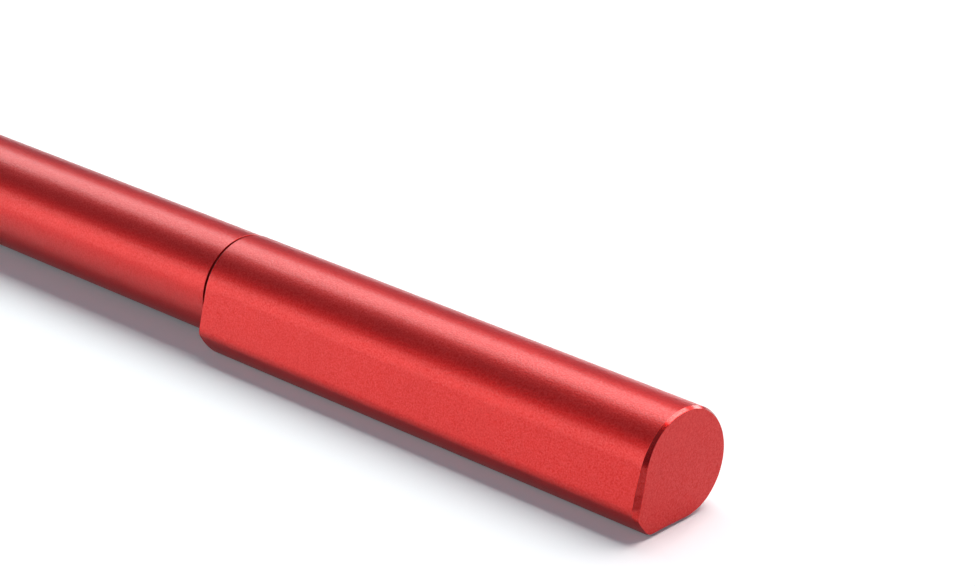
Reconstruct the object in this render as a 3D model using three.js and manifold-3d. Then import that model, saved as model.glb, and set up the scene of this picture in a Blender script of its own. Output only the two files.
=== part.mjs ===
// A twist-action ballpoint pen: a bullet-nosed barrel, a teardrop cap, and the helical cam inside that
// moves the refill when the cap is turned. Lengths are in millimetres.
// Pieces are drawn along the pen's own axis, s, which runs from the nose's front edge to the rear end.
import * as THREE from "three";
import { mergeVertices } from "three/addons/utils/BufferGeometryUtils.js";
import Module from "manifold-3d";

const wasm = await Module();
wasm.setup();

// Outer form
const BARREL_RADIUS = 4.65;
const NOSE_LENGTH = 26;
const NOSE_RIM_RADIUS = 1.57;
const NOSE_FULLNESS = 2.9;
const CAP_LENGTH = 49.6;
const CAP_RADIUS = 4.7;
const APEX_RADIUS = 6;
const APEX_HALF_ANGLE = 36.7;
const APEX_BLEND = 0.3;
const SEAM_GAP = 0.3;
const END_CHAMFER_LENGTH = 0.42;
const END_CHAMFER_DEPTH = 0.27;
const EDGE_BREAK = 0.1;

// Clearances
const RUN_GAP = 0.1;
const FIT_GAP = 0.04;
const END_GAP = 0.05;

// Refill: the standard metal kind, 98.1 long with a ball of 1.0
const REFILL_LENGTH = 98.1;
const REFILL_END_PAST_SEAM = 5.6;
const REFILL_TUBE_RADIUS = 2.915;
const REFILL_TUBE_WALL = 0.3;
const REFILL_NECK_RADIUS = 1.5;
const REFILL_NECK_LENGTH = 14.9;
const REFILL_SHOULDER_LENGTH = 1.9;
const REFILL_PLUG_LENGTH = 3;
const REFILL_STUB_LENGTH = 4;
const REFILL_SHOULDER_BAND = 0.5;
const NECK_BORE_RADIUS = 0.875;
const NECK_SETBACK = 3;
const PLUG_STUB_LENGTH = 3;
const PLUG_HOLLOW_RADIUS = 1.675;
const PLUG_HOLLOW_DEPTH = 1.6;
const PLUG_NOTCH_DEPTH = 1.2;
const PLUG_NOTCH_WIDTH = 1.2;
const TIP_RADIUS = 1.25;
const TIP_SHOWN = 3.1;
const TIP_CYLINDER = 0.65;
const TIP_CONE_END_RADIUS = 0.55;
const TIP_STEM_LENGTH = 4;
const BALL_RADIUS = 0.5;
const BALL_SHOWN = 0.35;
const BALL_GAP = 0.03;
const BALL_CRIMP_LENGTH = 0.12;
const CONE_STEP = 0.06;
const INK_BORE_RADIUS = 0.15;

// Barrel's inside
const NOSE_HOLE_RADIUS = 1.38;
const NOSE_HOLE_LENGTH = 2.4;
const NECK_GUIDE_RADIUS = 1.65;
const SPRING_SEAT = 4.2;
const SPRING_CHAMBER_RADIUS = 2.3;
const SPRING_CHAMBER_END = 11;
const BORE_CONE_LENGTH = 0.8;
const BARREL_BORE_RADIUS = 3.05;
const THREAD_DEPTH = 11;
const THREAD_INSERT_RADIUS = 4.1;
const THREAD_INSERT_INNER = 3.65;
const THREAD_INSERT_SETBACK = 0.2;

// Return spring
const WIRE_RADIUS = 0.22;
const SPRING_RADIUS = 1.92;
const SPRING_TURNS = 7;
const SPRING_STEPS_PER_TURN = 8;
const WIRE_SIDES = 5;
const LEAST_WIRE_GAP = 0.4;

// Cap's inside
const CAP_BORE_RADIUS = 4.1;
const CAP_BORE_ROOM = 2;
const CAP_REAR_BORE_RADIUS = 3.2;
const CAP_END_WALL = 5.3;
const CAM_INNER_RADIUS = 3.45;
const CAM_LEAD = 5;
const CAM_LENGTH = 25;
const CAM_TURN = 180;
const CAM_SLOT_WIDTH = 1.75;
const CAM_SLOT_STEPS = 18;
const BEARING_INNER_RADIUS = 3.8;
const BEARING_END_GAP = 0.2;

// Twist mechanism's fixed part
const WASHER_THICKNESS = 0.25;
const WASHER_RADIUS = 4.45;
const SPIGOT_LENGTH = 9;
const COLLAR_LENGTH = 2;
const GROOVE_OFFSET = 0.55;
const GROOVE_WIDTH = 0.9;
const GROOVE_DEPTH = 0.4;
const RING_CORD_RADIUS = 0.22;
const SLEEVE_LENGTH = 4.4;
const GUIDE_END_LIP = 0.65;
const GUIDE_REAR_ROOM = 0.5;
const GUIDE_REAR_BORE = 2.2;
const GUIDE_WALL = 0.3;
const WAVE_SPACE = 0.75;
const WAVE_THICKNESS = 0.25;
const WAVE_COUNT = 3;
const CLIP_RING_THICKNESS = 0.5;
const CLIP_RING_GROOVE_DEPTH = 0.4;
const CLIP_RING_OPENING = 2;

// Plunger
const STROKE = 5;
const PIN_PAST_REFILL = 7;
const PIN_RADIUS = 0.6;
const PIN_SIDE_GAP = 0.12;
const PLUNGER_REACH = 5.5;
const PAD_THICKNESS = 1.1;
const PAD_STEM_RADIUS = 1.4;
const PAD_STEM_LENGTH = 3;

// Facets round a turned piece
const OUTER_SIDES = 56;
const INNER_SIDES = 36;
const SMALL_SIDES = 24;
const NOSE_STEPS = 12;
const CAP_ROUND_STEPS = 28;
const APEX_CORNER_STEPS = [-0.075, -0.05, -0.025, 0, 0.025, 0.05, 0.075, 0.15];
const RING_CORD_SIDES = 8;
const BALL_CUP_STEPS = 5;

// Places along the axis
const REFILL_FRONT = -TIP_SHOWN;
const REFILL_REAR = REFILL_FRONT + REFILL_LENGTH;
const NECK_FRONT = NECK_SETBACK;
const SHOULDER = REFILL_FRONT + REFILL_NECK_LENGTH;
const TUBE_FRONT = SHOULDER + REFILL_SHOULDER_LENGTH;
const TUBE_REAR = REFILL_REAR - REFILL_PLUG_LENGTH;
const SEAM = REFILL_REAR - REFILL_END_PAST_SEAM;
const CAP_FRONT = SEAM + SEAM_GAP;
const CAP_REAR = CAP_FRONT + CAP_LENGTH;
const COLLAR_FRONT = SEAM + WASHER_THICKNESS;
const COLLAR_REAR = COLLAR_FRONT + COLLAR_LENGTH;
const PIN_AT_REST = REFILL_REAR + PIN_PAST_REFILL;
const PLUNGER_FRONT = REFILL_REAR + END_GAP + PAD_THICKNESS + FIT_GAP;
const PLUNGER_REAR = PIN_AT_REST + PLUNGER_REACH;
const CAM_FRONT = PIN_AT_REST - CAM_LEAD;
const CAM_REAR = CAM_FRONT + CAM_LENGTH;
const CLIP_GROOVE = CAM_REAR + WAVE_SPACE;
const CLIP_GROOVE_END = CLIP_GROOVE + CLIP_RING_THICKNESS + END_GAP * 2;
const GUIDE_REAR = CLIP_GROOVE_END + GUIDE_END_LIP;
const CAP_BORE_END = GUIDE_REAR + CAP_BORE_ROOM;

// Colours
const RED = new THREE.MeshStandardMaterial({ color: 0xc9252d, roughness: 0.42, metalness: 0.9 });
const CHROME = new THREE.MeshStandardMaterial({ color: 0xd8d8da, roughness: 0.08, metalness: 1 });
const STEEL = new THREE.MeshStandardMaterial({ color: 0xb4b6b8, roughness: 0.3, metalness: 1 });
const BRASS = new THREE.MeshStandardMaterial({ color: 0xc9a24a, roughness: 0.3, metalness: 1 });
const POLYMER = new THREE.MeshStandardMaterial({ color: 0x1c1c1e, roughness: 0.55, metalness: 0 });
const CARBIDE = new THREE.MeshStandardMaterial({ color: 0x6d6474, roughness: 0.25, metalness: 0.8 });

const pen = new THREE.Group();

function radians(degrees) {
  return THREE.MathUtils.degToRad(degrees);
}

// The pen's axis is X in the finished part, so a lathe turned about Y is laid over.
function layAlongX(geometry) {
  return geometry.rotateZ(-Math.PI / 2);
}

function signedArea(outline) {
  return outline.reduce((sum, [s, r], i) => {
    const [nextS, nextR] = outline[(i + 1) % outline.length];
    return sum + r * nextS - nextR * s;
  }, 0);
}

// A turned piece from its half section, a closed list of [s, r].
function turned(outline, sides = INNER_SIDES) {
  const ordered = signedArea(outline) > 0 ? outline : [...outline].reverse();
  const points = [...ordered, ordered[0]].map(([s, r]) => new THREE.Vector2(r, s));
  return layAlongX(new THREE.LatheGeometry(points, sides));
}

function ring(front, rear, inner, outer, sides) {
  return turned([[front, inner], [front, outer], [rear, outer], [rear, inner]], sides);
}

function solid(geometry) {
  const bare = geometry.clone();
  bare.deleteAttribute("normal");
  bare.deleteAttribute("uv");
  const merged = mergeVertices(bare, 1e-4);
  const kept = [];
  const index = merged.index.array;
  for (let i = 0; i < index.length; i += 3) {
    const [a, b, c] = [index[i], index[i + 1], index[i + 2]];
    if (a !== b && b !== c && c !== a) kept.push(a, b, c);
  }
  return new wasm.Manifold(new wasm.Mesh({
    numProp: 3,
    vertProperties: new Float32Array(merged.attributes.position.array),
    triVerts: new Uint32Array(kept),
  }));
}

function fromSolid(manifold) {
  const mesh = manifold.getMesh();
  return fromArrays(mesh.vertProperties, mesh.triVerts);
}

function fromArrays(positions, triangles) {
  const geometry = new THREE.BufferGeometry();
  geometry.setAttribute("position", new THREE.BufferAttribute(new Float32Array(positions), 3));
  geometry.setIndex(new THREE.BufferAttribute(new Uint32Array(triangles), 1));
  return geometry;
}

function cut(geometry, ...cutters) {
  return fromSolid(cutters.reduce((left, tool) => left.subtract(solid(tool)), solid(geometry)));
}

// A closed skin over rings of equally many points: quads from ring to ring, and a fan on each end.
// closed joins the last ring to the first instead.
function skin(rings, closed = false) {
  const count = rings[0].length;
  const positions = rings.flat(2);
  const triangles = [];
  const spans = closed ? rings.length : rings.length - 1;
  for (let i = 0; i < spans; i += 1) {
    const here = i * count;
    const there = ((i + 1) % rings.length) * count;
    for (let j = 0; j < count; j += 1) {
      const k = (j + 1) % count;
      triangles.push(here + j, here + k, there + k, here + j, there + k, there + j);
    }
  }
  if (!closed) {
    const last = (rings.length - 1) * count;
    for (let j = 1; j < count - 1; j += 1) {
      triangles.push(0, j + 1, j, last, last + j, last + j + 1);
    }
  }
  return fromArrays(positions, triangles);
}

function add(name, geometry, material) {
  const mesh = new THREE.Mesh(geometry, material);
  mesh.name = name;
  pen.add(mesh);
}

// Radius of the bullet nose: full at the barrel, closing ever faster towards the rim.
function noseRadius(s) {
  const left = 1 - Math.min(s / NOSE_LENGTH, 1);
  return NOSE_RIM_RADIUS + (BARREL_RADIUS - NOSE_RIM_RADIUS) * (1 - left ** NOSE_FULLNESS);
}

function noseOutline(steps) {
  return Array.from({ length: steps + 1 }, (_, i) => {
    const s = NOSE_LENGTH * (i / steps) ** 1.4;
    return [s, noseRadius(s)];
  });
}

function frontBarrel() {
  const insertFloor = SEAM - THREAD_DEPTH;
  return turned([
    ...noseOutline(NOSE_STEPS),
    [SEAM - EDGE_BREAK, BARREL_RADIUS],
    [SEAM, BARREL_RADIUS - EDGE_BREAK],
    [SEAM, THREAD_INSERT_RADIUS],
    [insertFloor, THREAD_INSERT_RADIUS],
    [insertFloor, BARREL_BORE_RADIUS],
    [SPRING_CHAMBER_END + BORE_CONE_LENGTH, BARREL_BORE_RADIUS],
    [SPRING_CHAMBER_END, SPRING_CHAMBER_RADIUS],
    [SPRING_SEAT, SPRING_CHAMBER_RADIUS],
    [SPRING_SEAT, NECK_GUIDE_RADIUS],
    [NOSE_HOLE_LENGTH, NECK_GUIDE_RADIUS],
    [NOSE_HOLE_LENGTH, NOSE_HOLE_RADIUS],
    [0, NOSE_HOLE_RADIUS],
  ], OUTER_SIDES);
}

function threadInsert() {
  const front = SEAM - THREAD_DEPTH + FIT_GAP;
  const rear = SEAM - THREAD_INSERT_SETBACK;
  return ring(front, rear, THREAD_INSERT_INNER, THREAD_INSERT_RADIUS - FIT_GAP);
}

// Distance from the axis to the cap's skin at a turn of phi from the apex's middle line:
// the round, then the flat that leaves it square to its radius, then the arc of the blunt apex.
function capSkin(phi, round, apex) {
  const fromApex = Math.abs(phi);
  const tangentAt = Math.PI / 2 - radians(APEX_HALF_ANGLE);
  if (fromApex >= tangentAt) return round;
  const flat = round / Math.cos(tangentAt - fromApex);
  const nearness = Math.max(APEX_BLEND - Math.abs(flat - apex), 0) / APEX_BLEND;
  return Math.min(flat, apex) - nearness ** 2 * APEX_BLEND / 4;
}

// Turns at which the cap's section is sampled, closest together at the apex's two corners.
function capTurns() {
  const tangentAt = Math.PI / 2 - radians(APEX_HALF_ANGLE);
  const corner = tangentAt - Math.acos(CAP_RADIUS / APEX_RADIUS);
  const nearCorner = APEX_CORNER_STEPS.map((step) => corner + step);
  const round = Array.from({ length: CAP_ROUND_STEPS + 1 }, (_, i) => {
    return tangentAt + (Math.PI - tangentAt) * i / CAP_ROUND_STEPS;
  });
  const half = [corner / 3, ...nearCorner, ...round];
  const other = half.slice(0, -1).reverse().map((turn) => -turn);
  return [...half, ...other];
}

// One cross section of the cap. The pen rests on one flat, with the apex pointing to -Y.
function capSection(s, round, apex) {
  const apexAt = Math.PI + radians(APEX_HALF_ANGLE);
  return capTurns().map((turn) => {
    const r = capSkin(turn, round, apex);
    return [s, r * Math.cos(apexAt + turn), r * Math.sin(apexAt + turn)];
  });
}

function capBody() {
  const outside = skin([
    capSection(CAP_FRONT, CAP_RADIUS - EDGE_BREAK, APEX_RADIUS - EDGE_BREAK),
    capSection(CAP_FRONT + EDGE_BREAK, CAP_RADIUS, APEX_RADIUS),
    capSection(CAP_REAR - END_CHAMFER_LENGTH, CAP_RADIUS, APEX_RADIUS),
    capSection(CAP_REAR, CAP_RADIUS - END_CHAMFER_DEPTH, APEX_RADIUS - EDGE_BREAK),
  ]);
  const bore = turned([
    [CAP_FRONT - 1, 0],
    [CAP_FRONT - 1, CAP_BORE_RADIUS],
    [CAP_BORE_END, CAP_BORE_RADIUS],
    [CAP_BORE_END, CAP_REAR_BORE_RADIUS],
    [CAP_REAR - CAP_END_WALL, CAP_REAR_BORE_RADIUS],
    [CAP_REAR - CAP_END_WALL, 0],
  ]);
  return cut(outside, bore);
}

// A cutter for one helical slot: a box section carried along the cam's path.
function helicalCutter(startTurn) {
  const overrun = (PIN_RADIUS + PIN_SIDE_GAP * 2) / CAM_INNER_RADIUS;
  const risePerRadian = STROKE / radians(CAM_TURN);
  const half = CAM_SLOT_WIDTH / 2;
  const inner = CAM_INNER_RADIUS - 0.5;
  const outer = CAP_BORE_RADIUS + 0.5;
  const first = -overrun;
  const span = radians(CAM_TURN) + overrun * 2;
  const corners = [[inner, -half], [outer, -half], [outer, half], [inner, half]];
  const rings = Array.from({ length: CAM_SLOT_STEPS + 1 }, (_, i) => {
    const turn = first + span * i / CAM_SLOT_STEPS;
    const s = PIN_AT_REST + risePerRadian * turn;
    const angle = startTurn - turn;
    return corners.map(([r, along]) => [s + along, r * Math.cos(angle), r * Math.sin(angle)]);
  });
  return skin(rings);
}

function camSleeve() {
  const tube = ring(CAM_FRONT, CAM_REAR, CAM_INNER_RADIUS, CAP_BORE_RADIUS - FIT_GAP);
  return cut(tube, helicalCutter(0), helicalCutter(Math.PI));
}

function mouthBearing() {
  const front = COLLAR_REAR + BEARING_END_GAP;
  return ring(front, CAM_FRONT - BEARING_END_GAP, BEARING_INNER_RADIUS, CAP_BORE_RADIUS - FIT_GAP);
}

// The fixed brass bush: a spigot that screws into the barrel, a collar, and a sleeve for the guide tube.
function couplingBush() {
  const spigot = THREAD_INSERT_INNER - RUN_GAP;
  const collar = CAP_BORE_RADIUS - RUN_GAP;
  const sleeve = BEARING_INNER_RADIUS - RUN_GAP;
  const groove = COLLAR_FRONT + GROOVE_OFFSET;
  const socket = CAM_INNER_RADIUS - RUN_GAP + FIT_GAP;
  return turned([
    [SEAM - SPIGOT_LENGTH, BARREL_BORE_RADIUS],
    [SEAM - SPIGOT_LENGTH, spigot - EDGE_BREAK * 2],
    [SEAM - SPIGOT_LENGTH + EDGE_BREAK * 3, spigot],
    [COLLAR_FRONT, spigot],
    [COLLAR_FRONT, collar],
    [groove, collar],
    [groove, collar - GROOVE_DEPTH],
    [groove + GROOVE_WIDTH, collar - GROOVE_DEPTH],
    [groove + GROOVE_WIDTH, collar],
    [COLLAR_REAR, collar],
    [COLLAR_REAR, sleeve],
    [COLLAR_REAR + SLEEVE_LENGTH, sleeve],
    [COLLAR_REAR + SLEEVE_LENGTH, socket],
    [COLLAR_REAR + FIT_GAP, socket],
    [COLLAR_REAR + FIT_GAP, BARREL_BORE_RADIUS],
  ]);
}

function frictionRing() {
  const middle = COLLAR_FRONT + GROOVE_OFFSET + GROOVE_WIDTH / 2;
  const centre = CAP_BORE_RADIUS - RUN_GAP - GROOVE_DEPTH + RING_CORD_RADIUS + END_GAP;
  const outline = Array.from({ length: RING_CORD_SIDES }, (_, i) => {
    const turn = 2 * Math.PI * (i + 0.5) / RING_CORD_SIDES;
    return [middle + RING_CORD_RADIUS * Math.cos(turn), centre + RING_CORD_RADIUS * Math.sin(turn)];
  });
  return turned(outline);
}

function seamWasher() {
  return ring(SEAM, COLLAR_FRONT, THREAD_INSERT_INNER, WASHER_RADIUS);
}

function guideTube() {
  const outer = CAM_INNER_RADIUS - RUN_GAP;
  const inner = outer - GUIDE_WALL;
  const thick = PLUNGER_REAR + STROKE + GUIDE_REAR_ROOM;
  const tube = turned([
    [COLLAR_REAR + FIT_GAP * 2, inner],
    [COLLAR_REAR + FIT_GAP * 2, outer],
    [CLIP_GROOVE, outer],
    [CLIP_GROOVE, outer - CLIP_RING_GROOVE_DEPTH],
    [CLIP_GROOVE_END, outer - CLIP_RING_GROOVE_DEPTH],
    [CLIP_GROOVE_END, outer],
    [GUIDE_REAR - EDGE_BREAK * 3, outer],
    [GUIDE_REAR, outer - EDGE_BREAK * 3],
    [GUIDE_REAR, GUIDE_REAR_BORE],
    [thick, GUIDE_REAR_BORE],
    [thick, inner],
  ]);
  const slotLength = STROKE + (PIN_RADIUS + PIN_SIDE_GAP) * 2;
  const slot = new THREE.BoxGeometry(slotLength, outer * 3, (PIN_RADIUS + PIN_SIDE_GAP) * 2);
  slot.translate(PIN_AT_REST + STROKE / 2, 0, 0);
  return cut(tube, slot);
}

// A flat ring bent into waves: its middle plane rises and falls round the axis.
function waveWasher() {
  const inner = CAM_INNER_RADIUS + END_GAP;
  const outer = CAP_BORE_RADIUS - RUN_GAP * 2;
  const amplitude = (WAVE_SPACE - WAVE_THICKNESS) / 2 - END_GAP;
  const middle = CAM_REAR + WAVE_SPACE / 2;
  const half = WAVE_THICKNESS / 2;
  const corners = [[inner, half], [outer, half], [outer, -half], [inner, -half]];
  const rings = Array.from({ length: INNER_SIDES }, (_, i) => {
    const turn = 2 * Math.PI * i / INNER_SIDES;
    const s = middle + amplitude * Math.cos(WAVE_COUNT * turn);
    return corners.map(([r, along]) => [s + along, r * Math.cos(turn), r * Math.sin(turn)]);
  });
  return skin(rings, true);
}

function clipRing() {
  const front = CLIP_GROOVE + END_GAP;
  const inner = CAM_INNER_RADIUS - RUN_GAP - CLIP_RING_GROOVE_DEPTH + FIT_GAP;
  const whole = ring(front, front + CLIP_RING_THICKNESS, inner, CAP_BORE_RADIUS - RUN_GAP * 3);
  const opening = new THREE.BoxGeometry(CLIP_RING_THICKNESS * 4, CAP_BORE_RADIUS * 2, CLIP_RING_OPENING);
  opening.translate(front, CAP_BORE_RADIUS, 0);
  return cut(whole, opening);
}

function plungerRadius() {
  return CAM_INNER_RADIUS - RUN_GAP - GUIDE_WALL - RUN_GAP;
}

function plunger() {
  const radius = plungerRadius();
  const stem = PAD_STEM_RADIUS + FIT_GAP;
  const body = turned([
    [PLUNGER_FRONT, stem],
    [PLUNGER_FRONT, radius - EDGE_BREAK],
    [PLUNGER_FRONT + EDGE_BREAK, radius],
    [PLUNGER_REAR - EDGE_BREAK * 3, radius],
    [PLUNGER_REAR, radius - EDGE_BREAK * 3],
    [PLUNGER_REAR, 0],
    [PLUNGER_FRONT + PAD_STEM_LENGTH + FIT_GAP, 0],
    [PLUNGER_FRONT + PAD_STEM_LENGTH + FIT_GAP, stem],
  ]);
  return cut(body, crossBar(PIN_RADIUS + FIT_GAP, radius * 3));
}

// A round bar across the axis at the plunger's pin.
function crossBar(radius, length) {
  return new THREE.CylinderGeometry(radius, radius, length, SMALL_SIDES).translate(PIN_AT_REST, 0, 0);
}

function crossPin() {
  return crossBar(PIN_RADIUS, (CAP_BORE_RADIUS - RUN_GAP * 1.5) * 2);
}

function plungerPad() {
  const front = REFILL_REAR + END_GAP;
  const shoulder = front + PAD_THICKNESS;
  return turned([
    [front, 0],
    [front, plungerRadius() - EDGE_BREAK * 2],
    [shoulder, plungerRadius() - EDGE_BREAK * 2],
    [shoulder, PAD_STEM_RADIUS],
    [shoulder + PAD_STEM_LENGTH, PAD_STEM_RADIUS],
    [shoulder + PAD_STEM_LENGTH, 0],
  ]);
}

function refillTube() {
  return ring(TUBE_FRONT, TUBE_REAR, REFILL_TUBE_RADIUS - REFILL_TUBE_WALL, REFILL_TUBE_RADIUS);
}

// The refill's front: a neck that guides the spring, a shoulder, and a stub inside the ink tube.
function refillNeck() {
  const stub = REFILL_TUBE_RADIUS - REFILL_TUBE_WALL - FIT_GAP;
  return turned([
    [NECK_FRONT, NECK_BORE_RADIUS],
    [NECK_FRONT, REFILL_NECK_RADIUS],
    [SHOULDER, REFILL_NECK_RADIUS],
    [SHOULDER, SPRING_RADIUS + WIRE_RADIUS],
    [TUBE_FRONT - REFILL_SHOULDER_BAND, REFILL_TUBE_RADIUS],
    [TUBE_FRONT, REFILL_TUBE_RADIUS],
    [TUBE_FRONT, stub],
    [TUBE_FRONT + REFILL_STUB_LENGTH, stub],
    [TUBE_FRONT + REFILL_STUB_LENGTH, NECK_BORE_RADIUS],
  ]);
}

function refillTip() {
  const coneEnd = REFILL_FRONT + BALL_SHOWN;
  const coneStart = REFILL_FRONT + TIP_SHOWN - TIP_CYLINDER;
  const socket = BALL_RADIUS + BALL_GAP;
  const ballCentre = REFILL_FRONT + BALL_RADIUS;
  const seat = ballCentre + socket;
  const stem = NECK_BORE_RADIUS - FIT_GAP;
  const mouthTurn = Math.acos((coneEnd - ballCentre) / socket);
  const cup = Array.from({ length: BALL_CUP_STEPS }, (_, i) => {
    const turn = mouthTurn * (1 - i / BALL_CUP_STEPS);
    return [ballCentre + socket * Math.cos(turn), socket * Math.sin(turn)];
  });
  return turned([
    ...cup,
    [seat, INK_BORE_RADIUS],
    [NECK_FRONT + TIP_STEM_LENGTH, INK_BORE_RADIUS],
    [NECK_FRONT + TIP_STEM_LENGTH, stem],
    [NECK_FRONT - FIT_GAP, stem],
    [NECK_FRONT - FIT_GAP, TIP_RADIUS],
    [coneStart, TIP_RADIUS],
    [coneStart, TIP_RADIUS - CONE_STEP],
    [coneEnd + BALL_CRIMP_LENGTH, TIP_CONE_END_RADIUS + BALL_GAP],
    [coneEnd, TIP_CONE_END_RADIUS],
  ], SMALL_SIDES);
}

function tipBall() {
  const ball = new THREE.SphereGeometry(BALL_RADIUS, SMALL_SIDES, 12);
  return ball.rotateZ(Math.PI / 2).translate(REFILL_FRONT + BALL_RADIUS, 0, 0);
}

// The ink tube's rear plug, with the crown of teeth that such refills have.
function refillPlug() {
  const stub = REFILL_TUBE_RADIUS - REFILL_TUBE_WALL - FIT_GAP;
  const body = turned([
    [TUBE_REAR - PLUG_STUB_LENGTH, 0],
    [TUBE_REAR - PLUG_STUB_LENGTH, stub],
    [TUBE_REAR, stub],
    [TUBE_REAR, REFILL_TUBE_RADIUS],
    [REFILL_REAR, REFILL_TUBE_RADIUS],
    [REFILL_REAR, PLUG_HOLLOW_RADIUS],
    [REFILL_REAR - PLUG_HOLLOW_DEPTH, PLUG_HOLLOW_RADIUS],
    [REFILL_REAR - PLUG_HOLLOW_DEPTH, 0],
  ]);
  const notches = [0, 1].map((i) => {
    const notch = new THREE.BoxGeometry(PLUG_NOTCH_DEPTH * 2, REFILL_TUBE_RADIUS * 3, PLUG_NOTCH_WIDTH);
    return notch.rotateX(Math.PI / 4 + i * Math.PI / 2).translate(REFILL_REAR, 0, 0);
  });
  return cut(body, ...notches);
}

// The wire's middle at a share t of the spring's length: an even helix between barrel and refill.
function springCentre(t) {
  const front = SPRING_SEAT + WIRE_RADIUS + END_GAP;
  const rear = SHOULDER - WIRE_RADIUS - END_GAP;
  const turn = 2 * Math.PI * SPRING_TURNS * t;
  const s = front + (rear - front) * t;
  return new THREE.Vector3(s, SPRING_RADIUS * Math.cos(turn), SPRING_RADIUS * Math.sin(turn));
}

function returnSpring() {
  const steps = SPRING_TURNS * SPRING_STEPS_PER_TURN;
  const centres = Array.from({ length: steps + 1 }, (_, i) => springCentre(i / steps));
  const rings = centres.map((centre) => {
    const outward = new THREE.Vector3(0, centre.y, centre.z).normalize();
    const along = new THREE.Vector3(1, 0, 0);
    return Array.from({ length: WIRE_SIDES }, (_, j) => {
      const turn = -2 * Math.PI * j / WIRE_SIDES;
      const point = centre.clone();
      point.addScaledVector(outward, WIRE_RADIUS * Math.cos(turn));
      point.addScaledVector(along, WIRE_RADIUS * Math.sin(turn));
      return point.toArray();
    });
  });
  reportWireGap(centres);
  return skin(rings);
}

// Least distance between two turns of the wire, skin to skin, measured on the points of its centre line.
function reportWireGap(centres) {
  let least = Infinity;
  centres.forEach((a, i) => {
    centres.slice(i + SPRING_STEPS_PER_TURN / 2).forEach((b) => {
      least = Math.min(least, a.distanceTo(b) - 2 * WIRE_RADIUS);
    });
  });
  console.log(`return_spring: least gap between turns ${least.toFixed(3)} mm, wanted ${LEAST_WIRE_GAP}`);
}

add("front_barrel", frontBarrel(), RED);
add("thread_insert", threadInsert(), BRASS);
add("cap_body", capBody(), RED);
add("cam_sleeve", camSleeve(), BRASS);
add("mouth_bearing", mouthBearing(), POLYMER);
add("coupling_bush", couplingBush(), BRASS);
add("guide_tube", guideTube(), BRASS);
add("seam_washer", seamWasher(), POLYMER);
add("friction_ring", frictionRing(), POLYMER);
add("wave_washer", waveWasher(), STEEL);
add("clip_ring", clipRing(), STEEL);
add("plunger", plunger(), POLYMER);
add("cross_pin", crossPin(), STEEL);
add("plunger_pad", plungerPad(), POLYMER);
add("refill_tube", refillTube(), STEEL);
add("refill_neck", refillNeck(), STEEL);
add("refill_tip", refillTip(), CHROME);
add("refill_plug", refillPlug(), POLYMER);
add("tip_ball", tipBall(), CARBIDE);
add("return_spring", returnSpring(), STEEL);

// The origin is under the middle of the lying pen, on the surface that it rests on.
const box = new THREE.Box3().setFromObject(pen);
pen.position.set(-(box.min.x + box.max.x) / 2, -(box.min.y + box.max.y) / 2, -box.min.z);

export default pen;
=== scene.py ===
"""A twist ballpoint pen lying on a white surface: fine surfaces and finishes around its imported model.

Lengths are in metres. The pen's own axis runs along X, from the writing tip to the rear end.
"""

import math

import bmesh
import bpy
import numpy as np
from bpy.props import FloatProperty, FloatVectorProperty, IntProperty, PointerProperty
from mathutils import Matrix, Vector


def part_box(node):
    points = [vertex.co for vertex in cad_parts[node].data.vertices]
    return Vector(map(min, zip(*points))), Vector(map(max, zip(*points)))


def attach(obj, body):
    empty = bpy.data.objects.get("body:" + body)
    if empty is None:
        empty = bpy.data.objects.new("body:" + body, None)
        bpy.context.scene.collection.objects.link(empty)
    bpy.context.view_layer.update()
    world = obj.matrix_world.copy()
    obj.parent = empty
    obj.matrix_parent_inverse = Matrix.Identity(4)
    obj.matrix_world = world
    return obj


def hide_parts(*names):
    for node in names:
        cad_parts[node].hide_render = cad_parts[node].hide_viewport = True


bl_info = {
    "name": "Twist Pen",
    "version": (1, 0, 0),
    "blender": (4, 5, 0),
    "location": "View3D > Sidebar > Pen",
    "description": "Makes the surfaces, finishes and stage of a twist ballpoint pen",
    "category": "Object",
}

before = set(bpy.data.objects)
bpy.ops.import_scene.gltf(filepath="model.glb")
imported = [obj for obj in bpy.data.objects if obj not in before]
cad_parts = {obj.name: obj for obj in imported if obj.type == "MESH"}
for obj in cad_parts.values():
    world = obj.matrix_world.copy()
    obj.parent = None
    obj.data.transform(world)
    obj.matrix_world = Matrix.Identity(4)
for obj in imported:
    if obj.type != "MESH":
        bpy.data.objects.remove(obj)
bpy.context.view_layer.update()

MM = 0.001

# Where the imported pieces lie: the pen's axis, and the ends and outer radii of barrel and cap
BARREL_LOW, BARREL_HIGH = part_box("front_barrel")
CAP_LOW, CAP_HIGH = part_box("cap_body")
AXIS_Y = (BARREL_LOW[1] + BARREL_HIGH[1]) / 2
AXIS_Z = (BARREL_LOW[2] + BARREL_HIGH[2]) / 2
NOSE_X = BARREL_LOW[0]
SEAM_X = BARREL_HIGH[0]
CAP_FRONT_X = CAP_LOW[0]
CAP_REAR_X = CAP_HIGH[0]
BARREL_RADIUS = (BARREL_HIGH[2] - BARREL_LOW[2]) / 2
CAP_RADIUS = (CAP_HIGH[2] - CAP_LOW[2]) / 2

# Facets: round a turned piece, the cap or a wire, across an eased corner, and along a thread's pitch
ROUND_STEPS = 256
REFILL_ROUND_STEPS = 160
SMALL_ROUND_STEPS = 96
THREAD_ROUND_STEPS = 192
CAP_ROUND_STEPS = 900
CORD_ROUND_STEPS = 24
WIRE_ROUND_STEPS = 16
EASE_STEPS = 5
PITCH_STEPS = 14

# Steps along the nose's curve, the ball's and the tip cup's half sections, and each turn of the spring
NOSE_STEPS = 90
BALL_STEPS = 49
CUP_STEPS = 12
SPRING_TURN_STEPS = 40

# Where the angle between two facets passes these, the edge between them shows
SHARP_TURNED = math.radians(32)
SHARP_THREAD = math.radians(40)
SHARP_WIRE = math.radians(50)

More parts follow.
